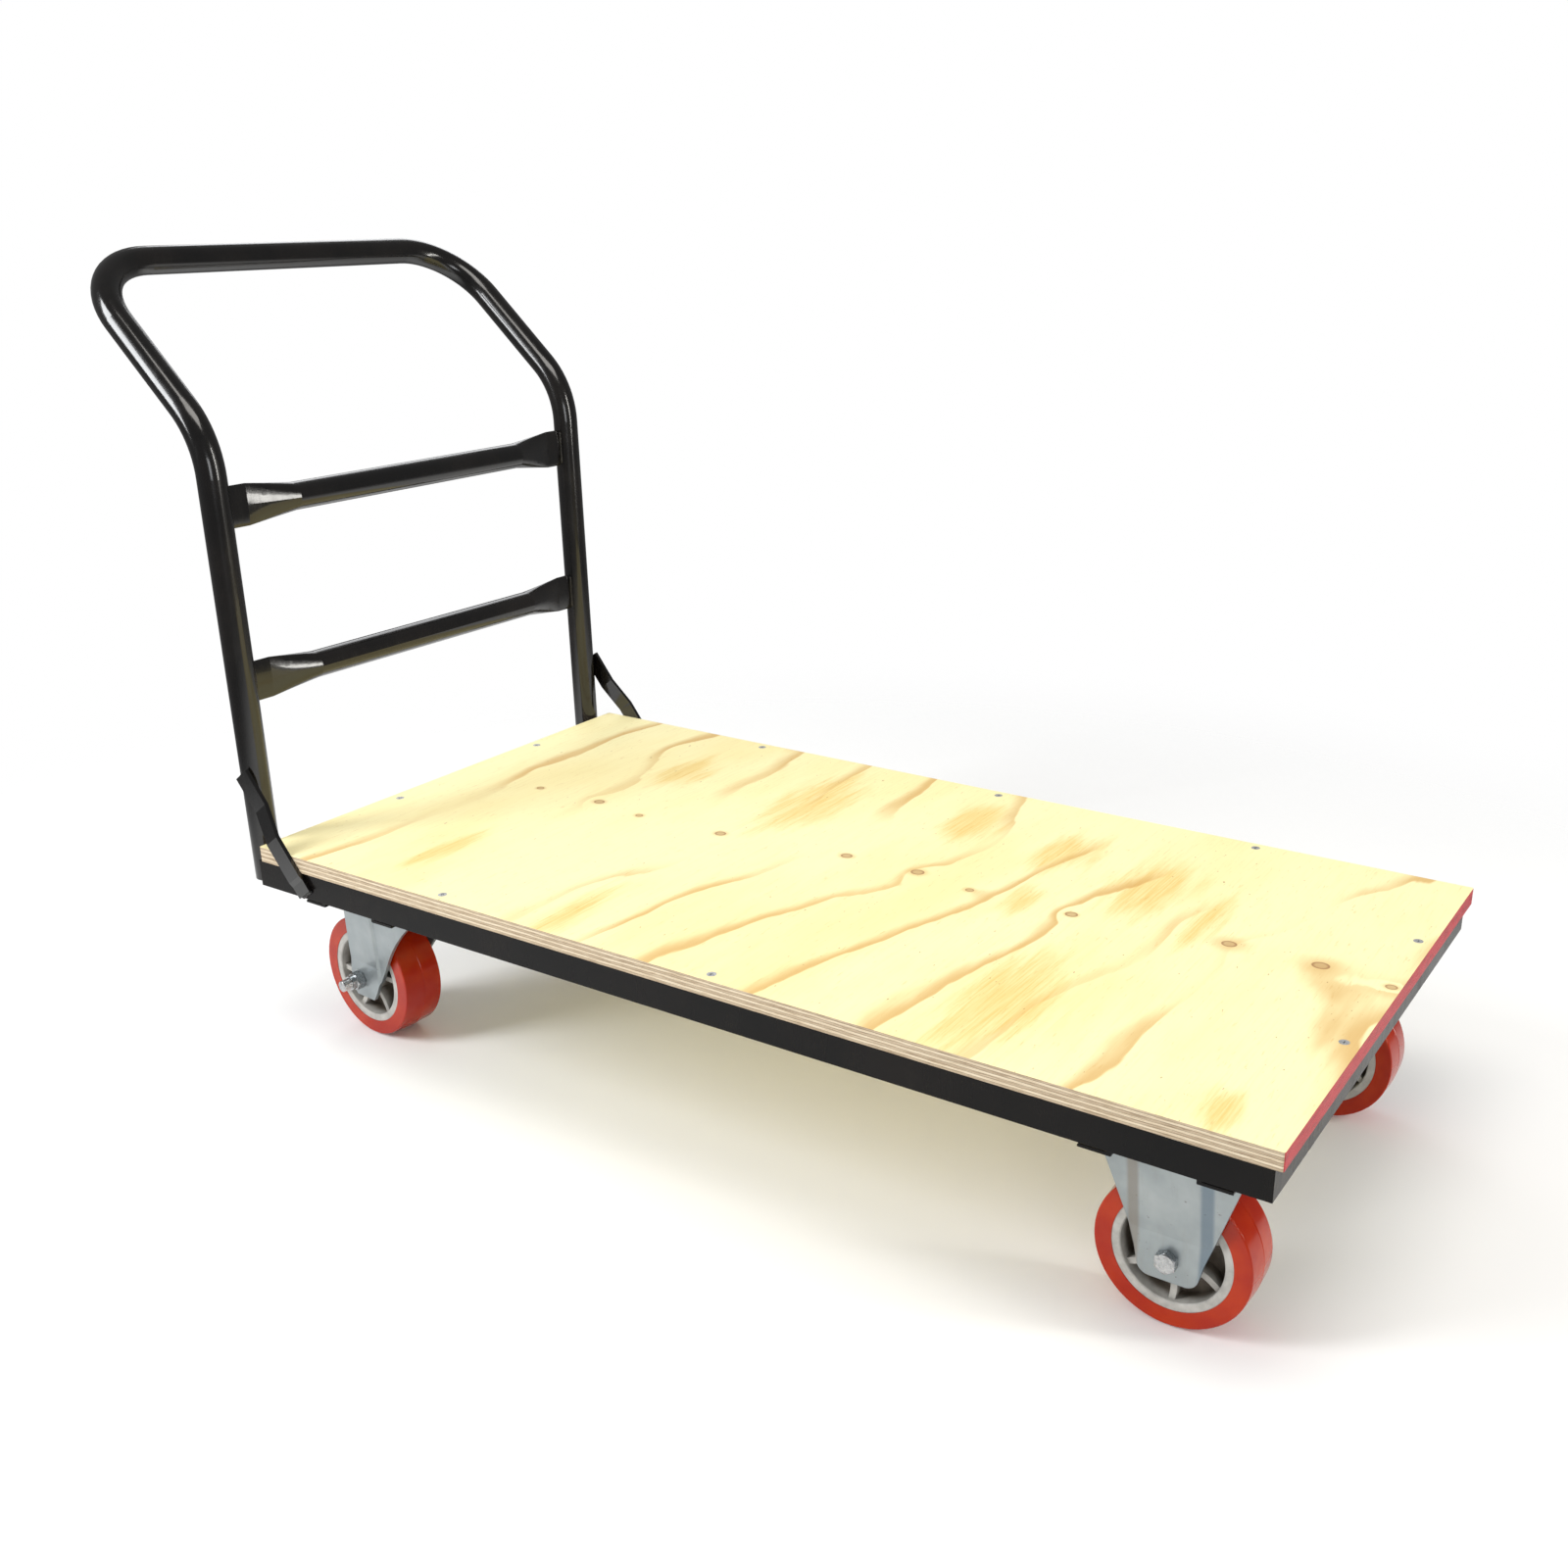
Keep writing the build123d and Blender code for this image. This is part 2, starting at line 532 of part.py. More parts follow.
def swivel_head():
    """Plate, race ring, balls, kingpin and nut, about the swivel axis at x = 0."""
    crown_low = CROWN_TOP - CROWN_SHEET
    nut_top = crown_low - KINGPIN_FIT
    nut_low = nut_top - KINGPIN_NUT_HEIGHT
    pin = post(KINGPIN_R, nut_low - KINGPIN_THREAD_OUT, CASTER_TOP + JOIN)
    head = post(KINGPIN_HEAD_R, CASTER_TOP, CASTER_TOP + KINGPIN_HEAD_HEIGHT)
    pin += fillet(head.edges().group_by(Axis.Z)[-1], KINGPIN_HEAD_HEIGHT / 2)
    nut = hexagon(KINGPIN_NUT_AF, nut_low, nut_top) - post(KINGPIN_R, nut_low, nut_top)
    ring = Circle(RACE_RING_R) - Circle(RACE_RING_R - RACE_RING_WALL)
    race = Pos(0, 0, PLATE_BOTTOM - RACE_RING_HEIGHT) * extrude(ring, RACE_RING_HEIGHT)
    turns = [2 * pi * index / BALL_COUNT for index in range(BALL_COUNT)]
    ball_z = PLATE_BOTTOM - BALL_FIT - BALL_R
    balls = group([Pos(BALL_RING_R * cos(t), BALL_RING_R * sin(t), ball_z) * Sphere(BALL_R)
                   for t in turns])
    plate = mounting_plate() - post(KINGPIN_R, PLATE_BOTTOM, CASTER_TOP)
    return {"top_plate": plate, "race_ring": race, "balls": balls, "kingpin": pin,
            "kingpin_nut": nut}


def mounting_bolts():
    """Hex bolts and nuts that hold the caster plates to the cross members."""
    places = caster_bolt_places(DECK_X + RIGID_X) + caster_bolt_places(DECK_X + SWIVEL_X)
    flange_top = CASTER_TOP + ANGLE_WALL
    nut_top = flange_top + BOLT_NUT_HEIGHT
    bolt = post(BOLT_R, PLATE_BOTTOM - JOIN, nut_top + BOLT_THREAD_OUT)
    bolt += hexagon(BOLT_AF, PLATE_BOTTOM - BOLT_HEAD_HEIGHT, PLATE_BOTTOM)
    nut = hexagon(BOLT_AF, flange_top, nut_top) - post(BOLT_R, flange_top, nut_top)
    save("caster_bolts", group([Pos(x, y, 0) * bolt for x, y in places]))
    save("caster_nuts", group([Pos(x, y, 0) * nut for x, y in places]))


def casters():
    """Two rigid casters in front and two swivel casters behind, one of them a little turned."""
    forks = {"rigid": rigid_fork(), "swivel": swivel_fork()}
    for side_name, side in SIDES.items():
        end = "_" + side_name
        y = side * CASTER_Y
        swivel_axis = Pos(DECK_X + SWIVEL_X, y, 0)
        turned = swivel_axis * Rot(0, 0, SWIVEL_REST_DEG[side_name]) * Pos(-SWIVEL_LEAD, 0, 0)
        places = {"rigid": Pos(DECK_X + RIGID_X, y, 0), "swivel": turned}
        head_side = {"rigid": side, "swivel": 1}
        for kind, place in places.items():
            save(kind + "_fork" + end, place * forks[kind])
            axle = place * Pos(0, 0, AXLE_Z)
            for name, piece in axle_parts(head_side[kind]).items():
                save(kind + "_" + name + end, axle * piece)
            save(kind + "_wheel_tread" + end, axle * wheel_tread())
            save(kind + "_wheel_core" + end, axle * wheel_core(RIB_FIRST_DEG[kind]))
            save(kind + "_wheel_rollers" + end, axle * wheel_rollers())
        for name, piece in swivel_head().items():
            save("swivel_" + name + end, swivel_axis * piece)


deck_and_frame()
cross_members()
save("handle_tube", handle_tube())
for bar_name, bar_z in BAR_HEIGHTS.items():
    save("handle_bar_" + bar_name, handle_bar(bar_z))
for brace_name, brace_side in SIDES.items():
    save("handle_brace_" + brace_name, handle_brace(brace_side))
mounting_bolts()
casters()
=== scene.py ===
import json
import math

import bpy
from mathutils import Matrix, Vector, noise


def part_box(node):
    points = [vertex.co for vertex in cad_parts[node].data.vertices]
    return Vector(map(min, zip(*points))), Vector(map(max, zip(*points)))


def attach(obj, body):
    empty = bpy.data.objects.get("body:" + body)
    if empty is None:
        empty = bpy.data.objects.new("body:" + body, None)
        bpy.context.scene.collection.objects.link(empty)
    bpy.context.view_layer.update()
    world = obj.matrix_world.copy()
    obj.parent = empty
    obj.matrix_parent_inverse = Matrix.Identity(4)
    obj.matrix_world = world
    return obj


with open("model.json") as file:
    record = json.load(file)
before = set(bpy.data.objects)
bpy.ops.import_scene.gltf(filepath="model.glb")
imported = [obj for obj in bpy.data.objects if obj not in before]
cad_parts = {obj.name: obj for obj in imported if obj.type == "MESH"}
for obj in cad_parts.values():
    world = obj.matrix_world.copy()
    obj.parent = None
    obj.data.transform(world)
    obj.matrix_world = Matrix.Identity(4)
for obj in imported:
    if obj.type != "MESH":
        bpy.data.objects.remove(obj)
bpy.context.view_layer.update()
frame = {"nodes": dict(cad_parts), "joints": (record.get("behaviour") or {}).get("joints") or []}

# Flatbed platform truck.  The CAD nodes keep their shapes and get their finishes here; weld
# beads and bolt threads are added as meshes.  Metres, +X to the front, +Z up.

nodes = frame["nodes"]
SIDES = {"left": 1, "right": -1}
SPINS = {joint["child"]: joint for joint in frame["joints"] if "_spin_" in joint["name"]}

# ---- Places read from the frame
deck_low, deck_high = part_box("deck_board")
DECK_X = (deck_low.x + deck_high.x) / 2
PLIES = 7
PLY = (deck_high.z - deck_low.z) / PLIES
rail_low, rail_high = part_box("frame_rail_left")
FRAME_REAR = rail_low.x
FRAME_FRONT = rail_high.x
FRAME_SIDE = rail_high.y
FRAME_BOTTOM = rail_low.z
FRAME_TOP = rail_high.z
tube_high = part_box("handle_tube")[1]
bar_low, bar_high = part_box("handle_bar_upper")
UPRIGHT_X = (bar_low.x + bar_high.x) / 2
TUBE_R = tube_high.x - UPRIGHT_X
UPRIGHT_Y = tube_high.y - TUBE_R
brace_low, brace_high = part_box("handle_brace_left")
fork_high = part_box("rigid_fork_left")[1]

# ---- Camera, stage and lights
SENSOR = 36.0
LENS = 37.27125
CAMERA_FROM_DECK = Vector((0.9221, -1.3957, 0.9547))
CAMERA_YAW = 32.219
CAMERA_PITCH = 20.641
CAMERA_ROLL = -0.251
CAMERA_SHIFT = (-0.0596, 0.0152)
FLOOR_HALF = 12.0
# distances from the middle between which the floor fades out
FLOOR_FADE = (0.75, 1.75)
FLOOR_COLOR = (0.96, 0.96, 0.955)
FLOOR_GREY = (0.92, 0.92, 0.915)
# strengths of the white surround: as seen, as a light and in reflections
SKY_SEEN = 1.0
SKY_LIGHT = 0.5
SKY_MIRRORED = 0.16

# name, place, aim, width, height, watts, colour, share that lights matt surfaces
LIGHTS = (
    ("key_overhead", (0.5, -0.5, 2.6), (0.15, 0, 0.25), 1.6, 1.0, 25, (1.0, 0.97, 0.92), 1.0),
    ("fill_right", (2.3, -2.2, 0.9), (0.1, 0, 0.25), 0.9, 1.0, 12, (0.95, 0.97, 1.0), 1.0),
    ("window_left", (-1.7, -2.1, 1.9), (-0.5, 0, 0.6), 0.9, 1.9, 70, (0.96, 0.98, 1.0), 0.12),
    ("strip_front", (2.6, 0.5, 1.1), (0.0, 0, 0.5), 0.25, 1.8, 26, (1.0, 0.98, 0.93), 0.25),
    ("rear_soft", (-2.0, 1.6, 1.8), (0.0, 0, 0.4), 1.2, 1.2, 9, (0.97, 0.98, 1.0), 1.0),
)


def make_camera():
    """The photograph's viewpoint: in front of the truck's right side, at chest height."""
    data = bpy.data.cameras.new("camera")
    data.sensor_width = SENSOR
    data.lens = LENS
    data.shift_x, data.shift_y = CAMERA_SHIFT
    camera = bpy.data.objects.new("camera", data)
    turn = Matrix.Rotation(math.radians(CAMERA_YAW), 4, "Z")
    tilt = Matrix.Rotation(math.radians(90 - CAMERA_PITCH), 4, "X")
    roll = Matrix.Rotation(math.radians(CAMERA_ROLL), 4, "Z")
    place = Matrix.Translation(CAMERA_FROM_DECK + Vector((DECK_X, 0, 0)))
    camera.matrix_world = place @ turn @ tilt @ roll
    bpy.context.scene.collection.objects.link(camera)
    bpy.context.scene.camera = camera


def make_lights():
    """Large soft lamps over and beside the truck."""
    for name, place, aim, width, height, watts, color, matt_share in LIGHTS:
        data = bpy.data.lights.new(name, "AREA")
        data.shape = "RECTANGLE"
        data.size = width
        data.size_y = height
        data.energy = watts
        data.color = color
        data.diffuse_factor = matt_share
        lamp = bpy.data.objects.new(name, data)
        lamp.location = place
        direction = Vector(aim) - Vector(place)
        lamp.rotation_euler = direction.to_track_quat("-Z", "Y").to_euler()
        bpy.context.scene.collection.objects.link(lamp)


# ---- Shader graphs

class Finish:
    """A material under construction: short calls that add shader nodes and link them."""

    def __init__(self, name, **constants):
        self.material = bpy.data.materials.new(name)
        self.material.use_nodes = True
        self.tree = self.material.node_tree
        self.shader = self.tree.nodes["Principled BSDF"]
        self.set(**constants)
        self.place = self.add("ShaderNodeTexCoord").outputs["Object"]

    def set(self, **constants):
        """Fixed values on the shader's own sockets, named with underscores for spaces."""
        for key, value in constants.items():
            self.shader.inputs[key.replace("_", " ")].default_value = value

    def add(self, kind, **settings):
        """A new node with the given settings."""
        node = self.tree.nodes.new(kind)
        for key, value in settings.items():
            setattr(node, key, value)
        return node

    def plug(self, socket, value):
        """A socket takes either a link or a plain value."""
        if isinstance(value, bpy.types.NodeSocket):
            self.tree.links.new(value, socket)
        elif value is not None:
            socket.default_value = value

    def math(self, operation, a, b=None):
        node = self.add("ShaderNodeMath", operation=operation)
        self.plug(node.inputs[0], a)
        self.plug(node.inputs[1], b)
        return node.outputs[0]

    def axis(self, letter, vector=None):
        """One component of a vector, by default of the place in the shared frame."""
        node = self.add("ShaderNodeSeparateXYZ")
        self.plug(node.inputs[0], vector or self.place)
        return node.outputs[letter]

    def stretched(self, x, y, z):
        """The place vector scaled on each axis."""
        node = self.add("ShaderNodeMapping")
        self.plug(node.inputs["Vector"], self.place)
        node.inputs["Scale"].default_value = (x, y, z)
        return node.outputs[0]

    def noise(self, scale, detail=2.0, rough=0.5, vector=None, distortion=0.0):
        node = self.add("ShaderNodeTexNoise")
        self.plug(node.inputs["Vector"], vector or self.place)
        node.inputs["Scale"].default_value = scale
        node.inputs["Detail"].default_value = detail
        node.inputs["Roughness"].default_value = rough
        node.inputs["Distortion"].default_value = distortion
        return node.outputs["Fac"]

    def fade(self, value, low, high, to_low=0.0, to_high=1.0):
        """Smooth step of a value from low..high to to_low..to_high."""
        node = self.add("ShaderNodeMapRange", interpolation_type="SMOOTHSTEP")
        self.plug(node.inputs["Value"], value)
        for name, number in (("From Min", low), ("From Max", high),
                             ("To Min", to_low), ("To Max", to_high)):
            node.inputs[name].default_value = number
        return node.outputs[0]

    def ramp(self, factor, *stops):
        """Colour ramp from (position, colour) pairs."""
        node = self.add("ShaderNodeValToRGB")
        self.plug(node.inputs[0], factor)
        points = node.color_ramp.elements
        while len(points) < len(stops):
            points.new(1.0)
        for point, (position, color) in zip(points, stops):
            point.position = position
            point.color = (*color, 1)
        return node.outputs[0]

    def mix(self, factor, a, b):
        """Blend of two colours; a mix node's colour sockets come after its number ones."""
        node = self.add("ShaderNodeMix", data_type="RGBA")
        self.plug(node.inputs["Factor"], factor)
        for socket, value in ((node.inputs[6], a), (node.inputs[7], b)):
            self.plug(socket, (*value, 1) if isinstance(value, tuple) else value)
        return node.outputs[2]

    def bump(self, height, strength, distance, normal=None):
        node = self.add("ShaderNodeBump")
        node.inputs["Strength"].default_value = strength
        node.inputs["Distance"].default_value = distance
        self.plug(node.inputs["Height"], height)
        self.plug(node.inputs["Normal"], normal)
        return node.outputs[0]

    def rounded(self, radius):
        """Softened normals along sharp edges."""
        node = self.add("ShaderNodeBevel", samples=4)
        node.inputs["Radius"].default_value = radius
        return node.outputs[0]

    def done(self, color, roughness, normal):
        """The finished material."""
        for name, value in (("Base Color", color), ("Roughness", roughness), ("Normal", normal)):
            self.plug(self.shader.inputs[name], value)
        return self.material


# ---- Plywood

# knots in the face veneer, from the deck's middle: x, y, radius and the halo's radius
KNOTS = (
    (-0.470, 0.013, 0.005, 0.010), (-0.373, 0.014, 0.007, 0.014), (-0.300, 0.003, 0.005, 0.011),
    (-0.180, 0.007, 0.007, 0.014), (-0.016, 0.027, 0.007, 0.014), (0.077, 0.028, 0.008, 0.018),
    (0.150, 0.015, 0.005, 0.012), (0.271, 0.015, 0.007, 0.012), (0.436, 0.033, 0.008, 0.030),
    (0.529, 0.033, 0.009, 0.036), (0.600, 0.023, 0.006, 0.012),
)
# flame-shaped tan patches, where the veneer knife ran along a ring: x, y and half sizes
PATCHES = (
    (-0.350, 0.160, 0.045, 0.070), (-0.150, 0.150, 0.060, 0.130), (-0.175, -0.265, 0.030, 0.100),
    (0.055, 0.190, 0.040, 0.080), (0.195, 0.170, 0.045, 0.080), (0.315, 0.120, 0.050, 0.110),
    (0.300, -0.195, 0.060, 0.150), (0.215, 0.020, 0.022, 0.060), (0.545, -0.270, 0.028, 0.045),
    (0.395, 0.070, 0.022, 0.090), (-0.420, -0.200, 0.022, 0.080),
)
PALE_WOOD = (0.93, 0.85, 0.485)
WARM_WOOD = (0.91, 0.79, 0.40)
TAN_WOOD = (0.79, 0.56, 0.18)
RING_WOOD = (0.60, 0.33, 0.085)
KNOT_WOOD = (0.27, 0.105, 0.045)
GLUE_BROWN = (0.16, 0.11, 0.07)
FRONT_RED = (0.50, 0.010, 0.022)
FRONT_RED_DARK = (0.30, 0.006, 0.012)


def oval(finish, x, y, centre_x, centre_y, half_x, half_y):
    """Distance from a centre, 1 on an ellipse round it."""
    across = finish.math("DIVIDE", finish.math("SUBTRACT", x, DECK_X + centre_x), half_x)
    along = finish.math("DIVIDE", finish.math("SUBTRACT", y, centre_y), half_y)
    squares = finish.math("ADD", finish.math("MULTIPLY", across, across),
                          finish.math("MULTIPLY", along, along))
    return finish.math("SQRT", squares)


def knot_field(finish, x, y):
    """Lift that bends the rings round each knot, the knots' cores and their halos."""
    lift = 0.0
    core = 0.0
    halo = 0.0
    for knot_x, knot_y, radius, reach in KNOTS:
        distance = oval(finish, x, y, knot_x, knot_y, radius, 0.85 * radius)
        spread = reach / radius
        near = finish.fade(distance, 3.0 * spread, 0.0)
        lift = finish.math("ADD", lift, finish.math("MULTIPLY", near, 0.1 + 6 * reach))
        outline = finish.fade(distance, 0.55, 0.9, 0.5, 1.0)
        dark = finish.math("MULTIPLY", finish.fade(distance, 1.08, 0.92), outline)
        core = finish.math("MAXIMUM", core, dark)
        halo = finish.math("MAXIMUM", halo, finish.fade(distance, spread, 0.8))
    return lift, core, halo


def patch_field(finish, x, y):
    """Where the broad tan patches lie, with ragged outlines."""
    ragged = finish.noise(1.0, 4.0, 0.65, finish.stretched(60.0, 7.0, 1.0))
    inside = 0.0
    for patch in PATCHES:
        distance = oval(finish, x, y, *patch)
        inside = finish.math("MAXIMUM", inside, finish.fade(distance, 1.5, 0.0))
    rough = finish.math("ADD", inside, finish.math("MULTIPLY", ragged, 1.7))
    return finish.fade(rough, 1.05, 1.85)


def veneer_face(finish, x, y):
    """Pale rotary-cut pine, its grain across the truck; also the relief of the late wood."""
    lift, core, halo = knot_field(finish, x, y)
    patch = patch_field(finish, x, y)
    sway = finish.noise(1.0, 2.0, 0.5, finish.stretched(2.6, 1.9, 1.0))
    wander = finish.noise(1.0, 3.0, 0.55, finish.stretched(22.0, 5.0, 1.0))
    height = finish.math("ADD", finish.math("MULTIPLY", sway, 2.7),
                         finish.math("MULTIPLY", x, 8.5))
    height = finish.math("ADD", height, finish.math("MULTIPLY", y, -0.9))
    height = finish.math("ADD", height, finish.math("MULTIPLY", wander, 0.35))
    ring = finish.math("FRACT", finish.math("ADD", height, lift))
    late = finish.math("MULTIPLY", finish.fade(ring, 0.78, 0.965), finish.fade(ring, 1.0, 0.975))
    spells = finish.noise(1.0, 2.0, 0.5, finish.stretched(4.5, 2.6, 1.0))
    late = finish.math("MULTIPLY", late, finish.fade(spells, 0.42, 0.62))

    fibre = finish.noise(1.0, 4.0, 0.7, finish.stretched(520.0, 15.0, 1.0))
    cloud = finish.noise(1.0, 3.0, 0.6, finish.stretched(7.0, 2.6, 1.0))
    face = finish.mix(finish.fade(cloud, 0.4, 0.75), PALE_WOOD, WARM_WOOD)
    face = finish.mix(finish.math("MULTIPLY", patch, finish.fade(fibre, 0.3, 0.7, 0.5, 0.95)),
                      face, TAN_WOOD)
    face = finish.mix(finish.math("MULTIPLY", late, 0.72), face, RING_WOOD)
    face = finish.mix(finish.fade(fibre, 0.45, 0.75, 0.0, 0.14), face, RING_WOOD)
    face = finish.mix(finish.math("MULTIPLY", halo, 0.42), face, RING_WOOD)
    face = finish.mix(finish.math("MULTIPLY", core, 0.75), face, KNOT_WOOD)
    flecks = finish.noise(1.0, 2.0, 0.5, finish.stretched(420.0, 60.0, 1.0))
    face = finish.mix(finish.fade(flecks, 0.62, 0.78, 0.0, 0.32), face, RING_WOOD)
    pits = finish.noise(1.0, 1.0, 0.5, finish.stretched(300.0, 120.0, 1.0))
    face = finish.mix(finish.fade(pits, 0.765, 0.80, 0.0, 0.6), face, KNOT_WOOD)
    relief = finish.math("ADD", finish.math("MULTIPLY", fibre, 0.5),
                         finish.math("MULTIPLY", late, 0.6))
    return face, relief


def layered_edge(finish, z):
    """Seven weathered plies, long grain and end grain in turn, with dark glue lines."""
    wave = finish.noise(1.0, 3.0, 0.6, finish.stretched(7.0, 7.0, 30.0))
    level = finish.math("DIVIDE", finish.math("SUBTRACT", z, deck_low.z), PLY)
    shift = finish.math("MULTIPLY", finish.math("SUBTRACT", wave, 0.5), 0.9)
    level = finish.math("ADD", level, shift)
    within = finish.math("FRACT", level)
    odd = finish.math("GREATER_THAN",
                      finish.math("FRACT", finish.math("MULTIPLY", level, 0.5)), 0.5)
    glue = finish.math("MAXIMUM", finish.fade(within, 0.16, 0.03), finish.fade(within, 0.88, 0.98))
    streak = finish.noise(1.0, 5.0, 0.75, finish.stretched(45.0, 45.0, 1500.0), 0.8)
    long_grain = finish.ramp(streak, (0.32, (0.40, 0.28, 0.16)), (0.45, (0.66, 0.53, 0.36)),
                             (0.62, (0.84, 0.74, 0.56)))
    end_grain = finish.ramp(streak, (0.36, (0.27, 0.19, 0.115)), (0.5, (0.50, 0.385, 0.26)),
                            (0.68, (0.70, 0.58, 0.42)))
    edge = finish.mix(odd, end_grain, long_grain)
    edge = finish.mix(finish.math("MULTIPLY", glue, 0.7), edge, GLUE_BROWN)
    return edge, finish.math("SUBTRACT", streak, glue)


def plywood():
    """Pale veneer on top, layered edges at the sides, and a red painted front end."""
    finish = Finish("plywood", Specular_IOR_Level=0.28)
    x, y, z = (finish.axis(letter) for letter in "XYZ")
    face, face_relief = veneer_face(finish, x, y)
    edge, edge_relief = layered_edge(finish, z)

    facing = finish.add("ShaderNodeTexCoord").outputs["Normal"]
    top = finish.fade(finish.math("ABSOLUTE", finish.axis("Z", facing)), 0.45, 0.75)
    front = finish.fade(finish.axis("X", facing), 0.6, 0.8)
    drip = finish.noise(1.0, 3.0, 0.6, finish.stretched(300.0, 45.0, 240.0))
    red = finish.mix(finish.fade(drip, 0.4, 0.75), FRONT_RED, FRONT_RED_DARK)
    edge = finish.mix(front, edge, red)
    color = finish.mix(top, edge, face)
    side = finish.math("SUBTRACT", 1.0, top)
    relief = finish.math("ADD", finish.math("MULTIPLY", face_relief, top),
                         finish.math("MULTIPLY", edge_relief, side))
    roughness = finish.fade(front, 0.0, 1.0, 0.62, 0.34)
    normal = finish.bump(relief, 0.35, 0.0006, finish.rounded(0.0009))
    return finish.done(color, roughness, normal)


# ---- Paint, metal and plastics

ENAMEL = (0.0028, 0.0026, 0.0027)
ENAMEL_DULL = (0.0070, 0.0055, 0.0048)
DUST = (0.09, 0.078, 0.06)
TREAD_RED = (0.33, 0.011, 0.001)
TREAD_RED_LIGHT = (0.44, 0.030, 0.0015)
TREAD_SCUFF = (0.15, 0.006, 0.0015)
# painted shade deep in the wheel cores' pockets, in a darker and a lighter mottle
POCKET_SHADE_DARK = (0.085, 0.067, 0.05)
POCKET_SHADE_LIGHT = (0.17, 0.14, 0.11)


def black_paint(name, gloss, roughness, grime, eased):
    """Black enamel with a faint orange peel, dull patches, a little dust and eased edges."""
    finish = Finish(name, Coat_Weight=gloss, Coat_Roughness=0.06, Specular_IOR_Level=gloss)
    patches = finish.noise(9.0, 4.0, 0.6)
    streaks = finish.noise(1.0, 4.0, 0.65, finish.stretched(160.0, 160.0, 11.0))
    dust = finish.math("MULTIPLY", finish.noise(48.0, 6.0, 0.72), finish.noise(5.0, 2.0, 0.5))
    color = finish.mix(finish.fade(patches, 0.35, 0.7), ENAMEL, ENAMEL_DULL)
    color = finish.mix(finish.fade(dust, 0.30, 0.55, 0.0, grime), color, DUST)
    rough = finish.math("ADD", finish.fade(patches, 0.3, 0.75, roughness, roughness + 0.10),
                        finish.fade(streaks, 0.45, 0.75, 0.0, 0.08))
    edges = finish.rounded(eased) if eased else None
    normal = finish.bump(finish.noise(260.0, 2.0, 0.5), 0.02, 0.0002, edges)
    return finish.done(color, rough, normal)


# distances ahead of and behind a rigid axle between which its fork's pressed step runs
STEP_START = 0.027
STEP_END = 0.042
STEP_BLEND = 0.004
# painted shade and reflection colours on the steps, brown behind the axle and blue ahead of it
STEP_SHADE_BROWN = (0.23, 0.20, 0.17)
STEP_SHADE_BLUE = (0.10, 0.15, 0.20)


def zinc_sheet(name, with_step_shade):
    """Blue-grey zinc on pressed steel, clouded and streaked, with painted shade and reflections on
    the pressed steps if wanted.
    """
    finish = Finish(name, Metallic=0.72)
    cloud = finish.noise(11.0, 4.0, 0.6)
    streak = finish.noise(1.0, 5.0, 0.65, finish.stretched(120.0, 120.0, 13.0))
    spots = finish.noise(230.0, 2.0, 0.5)
    color = finish.ramp(cloud, (0.3, (0.22, 0.245, 0.255)), (0.55, (0.31, 0.345, 0.355)),
                        (0.8, (0.43, 0.46, 0.465)))
    color = finish.mix(finish.fade(streak, 0.52, 0.8, 0.0, 0.35), color, (0.27, 0.27, 0.25))
    color = finish.mix(finish.fade(spots, 0.70, 0.78, 0.0, 0.6), color, (0.13, 0.11, 0.09))
    # painted shade and reflection: a band over each pressed step, tinted brown behind the axle and
    # blue ahead of it
    if with_step_shade:
        ahead = finish.math("SUBTRACT", finish.axis("X"), SPINS["rigid_wheel_left"]["pos_m"][0])
        away = finish.math("ABSOLUTE", ahead)
        step_shade_band = finish.math("MULTIPLY", finish.fade(away, STEP_START, STEP_START + STEP_BLEND),
                           finish.fade(away, STEP_END, STEP_END - STEP_BLEND))
        tint = finish.mix(finish.fade(ahead, -0.01, 0.01), STEP_SHADE_BROWN, STEP_SHADE_BLUE)
        color = finish.mix(finish.math("MULTIPLY", step_shade_band, 0.65), color, tint)
    rough = finish.fade(cloud, 0.3, 0.8, 0.26, 0.40)
    normal = finish.bump(finish.noise(300.0, 3.0, 0.6), 0.10, 0.0003, finish.rounded(0.0009))
    return finish.done(color, rough, normal)


def bright_zinc(name, color, roughness, metallic=1.0):
    """Plated fasteners: brighter than the sheet, with small dull blooms."""
    finish = Finish(name, Metallic=metallic)
    bloom = finish.noise(260.0, 3.0, 0.6)
    dark = tuple(0.45 * part for part in color)
    shade = finish.mix(finish.fade(bloom, 0.45, 0.8, 0.0, 0.8), color, dark)
    rough = finish.fade(bloom, 0.3, 0.8, roughness, roughness + 0.22)
    normal = finish.bump(finish.noise(900.0, 2.0, 0.5), 0.05, 0.0002, finish.rounded(0.0003))
    return finish.done(shade, rough, normal)


def bearing_steel():
    """Ground steel under a film of amber grease."""
    finish = Finish("bearing_steel", Metallic=1.0, Coat_Weight=0.5, Coat_Roughness=0.12)
    film = finish.noise(120.0, 3.0, 0.6)
    shade = finish.mix(finish.fade(film, 0.4, 0.7), (0.56, 0.55, 0.53), (0.38, 0.28, 0.15))
    return finish.done(shade, finish.fade(film, 0.3, 0.8, 0.12, 0.3), None)


def urethane():
    """Glossy orange-red cast tread, scuffed dull where it rolls."""
    finish = Finish("tread_red", Specular_IOR_Level=0.2, Coat_Weight=0.2, Coat_Roughness=0.04)
    cloud = finish.noise(16.0, 3.0, 0.6)
    grain = finish.noise(1.0, 4.0, 0.7, finish.stretched(420.0, 60.0, 420.0))
    color = finish.mix(finish.fade(cloud, 0.3, 0.75), TREAD_RED, TREAD_RED_LIGHT)
    color = finish.mix(finish.fade(grain, 0.55, 0.8, 0.0, 0.25), color, TREAD_SCUFF)
    rough = finish.fade(grain, 0.35, 0.8, 0.14, 0.28)
    return finish.done(color, rough, finish.bump(grain, 0.02, 0.0003))


